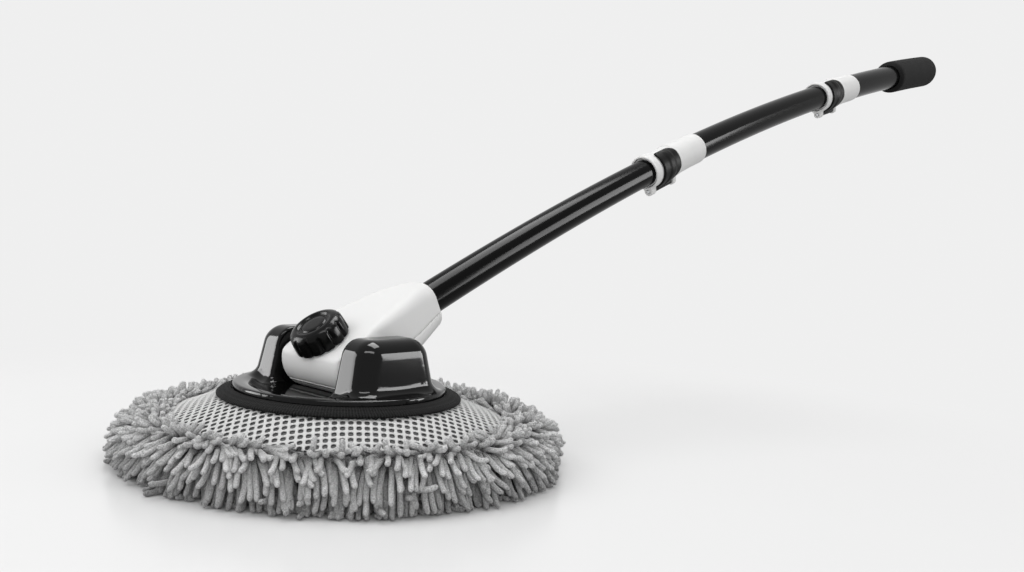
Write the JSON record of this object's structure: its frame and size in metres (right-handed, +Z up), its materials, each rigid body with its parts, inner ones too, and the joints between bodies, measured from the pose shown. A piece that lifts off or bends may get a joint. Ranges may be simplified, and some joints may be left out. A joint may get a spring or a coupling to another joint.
{
  "type": "car wash brush",
  "caption": "Car wash brush: oval chenille mop head with mesh top, knob-clamped swivel neck and a gently bent telescopic pole with flip-lever locks and a foam grip.",
  "frame": {"origin": "middle of the head's flat underside, on the floor", "axes": "+X the way the pole leads, +Y along the hinge axis, +Z up"},
  "size_m": [1.0892, 0.3151, 0.4154],
  "materials": {
    "chenille": "fluffy grey microfibre chenille",
    "sponge": "grey foam sponge",
    "mesh": "pale grey open mesh",
    "elastic": "black woven elastic",
    "black_gloss": "polished black",
    "black_matt": "matt black",
    "white": "satin white",
    "tube": "glossy black lacquer",
    "foam": "matt black foam rubber",
    "steel": "zinc plated"
  },
  "bodies": {
    "head": {"chenille_pile_rear_left": "chenille", "chenille_pile_front_left": "chenille", "chenille_pile_front_right": "chenille", "chenille_pile_rear_right": "chenille", "chenille_sole": "chenille", "sponge_core": "sponge", "support_plate": "black_matt", "mesh_cover": "mesh", "elastic_binding": "elastic", "swivel_base": "black_gloss", "hinge_axle": "steel", "base_screw_1": "steel", "base_screw_2": "steel", "base_screw_3": "steel", "base_screw_4": "steel", "saddle_cap_left": "black_matt", "saddle_cap_right": "black_matt", "saddle_screw_front_left": "steel", "saddle_screw_rear_left": "steel", "saddle_screw_front_right": "steel", "saddle_screw_rear_right": "steel", "thrust_washer_left": "white", "thrust_washer_right": "white"},
    "neck": {"neck_upper_shell": "white", "neck_lower_shell": "white", "neck_screw_1": "steel", "neck_screw_2": "steel", "neck_screw_3": "steel", "neck_screw_4": "steel", "tube_anchor_screw": "steel", "tube_lower": "tube", "lower_guide_bush": "white"},
    "knob": {"clamp_knob": "black_gloss", "clamp_screw": "steel", "retaining_clip": "steel"},
    "brake": {"brake_shoe": "black_matt"},
    "middle_stage": {"tube_middle": "tube", "middle_guide_bush": "white", "lower_lock_collar": "white", "lower_lock_liner": "black_matt", "lower_lock_pad": "black_matt", "lower_lock_pin": "steel"},
    "lower_lever": {"lower_lock_lever": "black_gloss"},
    "upper_stage": {"tube_upper": "tube", "upper_lock_collar": "white", "upper_lock_liner": "black_matt", "upper_lock_pad": "black_matt", "upper_lock_pin": "steel", "foam_grip": "foam", "grip_end_plug": "black_matt"},
    "upper_lever": {"upper_lock_lever": "black_gloss"}
  },
  "joints": [
    {"name": "head_tilt", "type": "hinge", "parent": "head", "child": "neck", "pos_m": [-0.005, 0, 0.065], "axis": [0, -1, 0], "range_deg": [-20, 47]},
    {"name": "knob_turn", "type": "hinge", "parent": "neck", "child": "knob", "pos_m": [-0.005, 0, 0.065], "axis": [-0.5835, 0, 0.8121], "range_deg": [0, 450]},
    {"name": "shoe_slide", "type": "slide", "parent": "neck", "child": "brake", "axis": [-0.5835, 0, 0.8121], "range_m": [0, 0.0011]},
    {"name": "pole_lower", "type": "hinge", "parent": "neck", "child": "middle_stage", "pos_m": [1.7195, 0, -3.32223], "axis": [0, 1, 0], "range_deg": [-3.88, 0.29]},
    {"name": "lower_lever_flip", "type": "hinge", "parent": "middle_stage", "child": "lower_lever", "pos_m": [0.35113, 0, 0.20355], "axis": [0.9323, 0, 0.3618], "range_deg": [0, 120]},
    {"name": "pole_upper", "type": "hinge", "parent": "middle_stage", "child": "upper_stage", "pos_m": [1.7195, 0, -3.32223], "axis": [0, 1, 0], "range_deg": [-3.41, 0.29]},
    {"name": "upper_lever_flip", "type": "hinge", "parent": "upper_stage", "child": "upper_lever", "pos_m": [0.66718, 0, 0.30927], "axis": [0.9605, 0, 0.2783], "range_deg": [0, 120]}
  ],
  "couplings": [
    {"joint": "shoe_slide", "follows": "knob_turn", "m_per_rad": 0.00012732}
  ]
}
